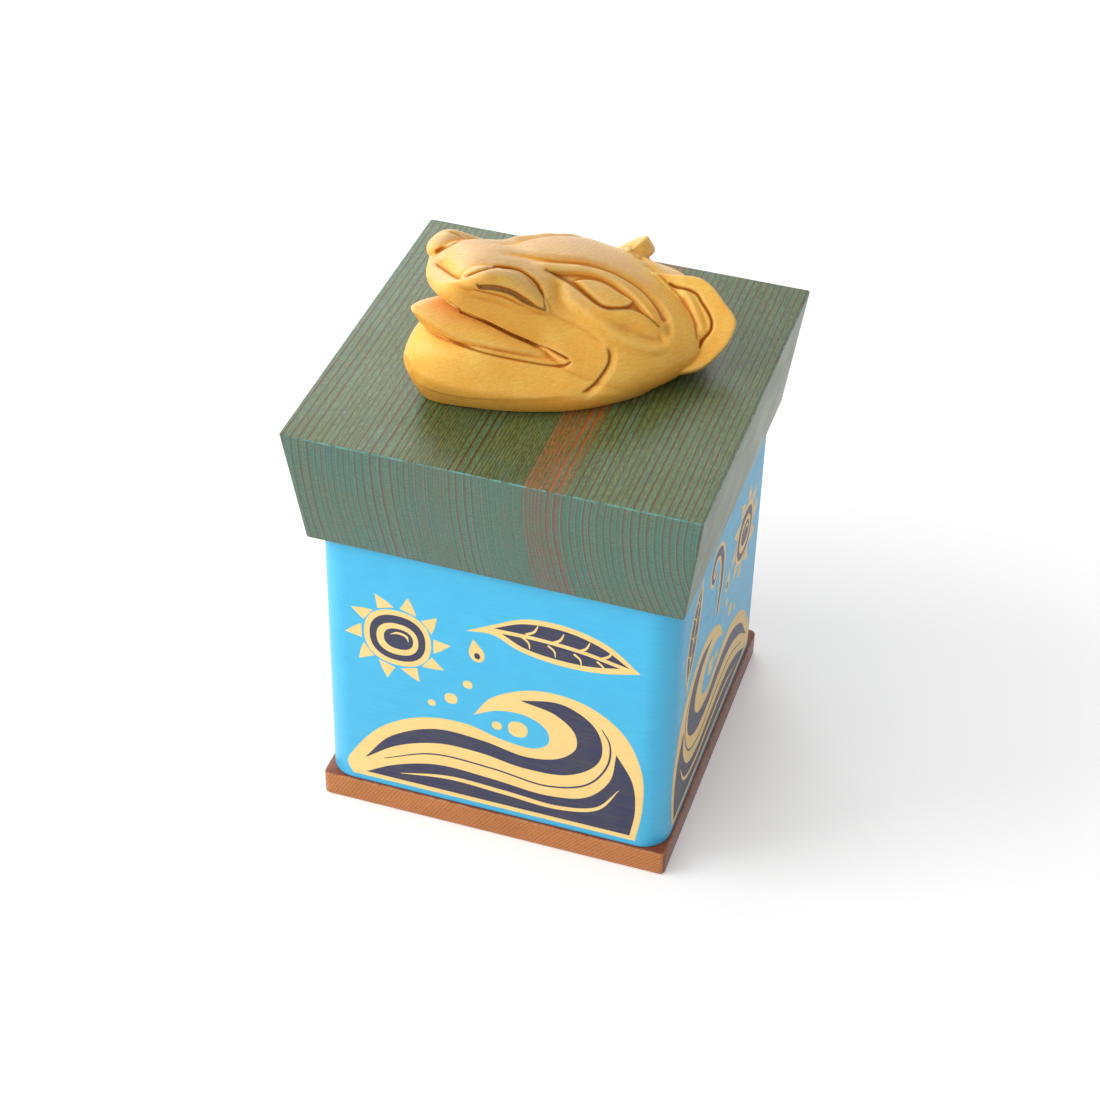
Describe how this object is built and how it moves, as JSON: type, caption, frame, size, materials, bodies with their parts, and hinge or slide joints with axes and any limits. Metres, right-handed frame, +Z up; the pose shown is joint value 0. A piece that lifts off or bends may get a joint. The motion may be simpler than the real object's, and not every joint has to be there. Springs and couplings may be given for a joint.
{
  "type": "carved wooden box",
  "caption": "Small square cedar box with a bent painted wall, board base and thick stained lift-off lid that carries a carved animal head.",
  "frame": {"origin": "middle of the base board's underside", "axes": "+Z up through the lid, -Y is the front face, +X is to the right seen from the front"},
  "size_m": [0.1396, 0.1396, 0.2137],
  "materials": {
    "oiled_red_cedar": "oiled red cedar, satin",
    "painted_cedar": "sky blue semi-gloss paint with a dark and gold design",
    "stained_cedar": "green stain over open red cedar grain",
    "yellow_cedar": "carved yellow cedar, satin varnish",
    "peg_wood": "plain hardwood pegs"
  },
  "bodies": {
    "box": {"base_board": "oiled_red_cedar", "box_wall": "painted_cedar", "base_peg_1": "peg_wood", "base_peg_2": "peg_wood", "base_peg_3": "peg_wood", "base_peg_4": "peg_wood", "base_peg_5": "peg_wood", "base_peg_6": "peg_wood", "base_peg_7": "peg_wood", "base_peg_8": "peg_wood", "corner_peg_1": "peg_wood", "corner_peg_2": "peg_wood", "corner_peg_3": "peg_wood", "corner_peg_4": "peg_wood", "corner_peg_5": "peg_wood"},
    "lid": {"lid_block": "stained_cedar", "carved_head": "yellow_cedar", "head_dowel_front": "peg_wood", "head_dowel_rear": "peg_wood"}
  },
  "joints": [
    {"name": "lid_lift", "type": "slide", "parent": "box", "child": "lid", "axis": [0, 0, 1], "range_m": [0, 0.15]}
  ]
}
